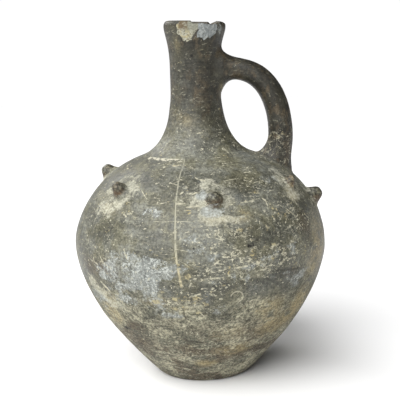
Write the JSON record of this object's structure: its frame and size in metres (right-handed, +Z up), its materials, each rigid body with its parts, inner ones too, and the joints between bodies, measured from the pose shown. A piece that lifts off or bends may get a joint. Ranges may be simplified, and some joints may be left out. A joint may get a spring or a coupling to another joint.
{
  "type": "burnished clay flask",
  "caption": "Hollow round-bellied clay flask with a small flat foot, a tall narrow neck, one side handle and a ring of pointed knobs on the shoulder.",
  "frame": {"origin": "middle of the flat foot, on the surface the flask stands on", "axes": "+Z up along the neck, +X towards the handle, -Y the front"},
  "size_m": [0.2156, 0.2156, 0.3012],
  "materials": {
    "clay": "dark grey fired clay, burnished, worn and crusted with pale soil"
  },
  "bodies": {
    "root": {"flask": "clay"}
  },
  "joints": []
}
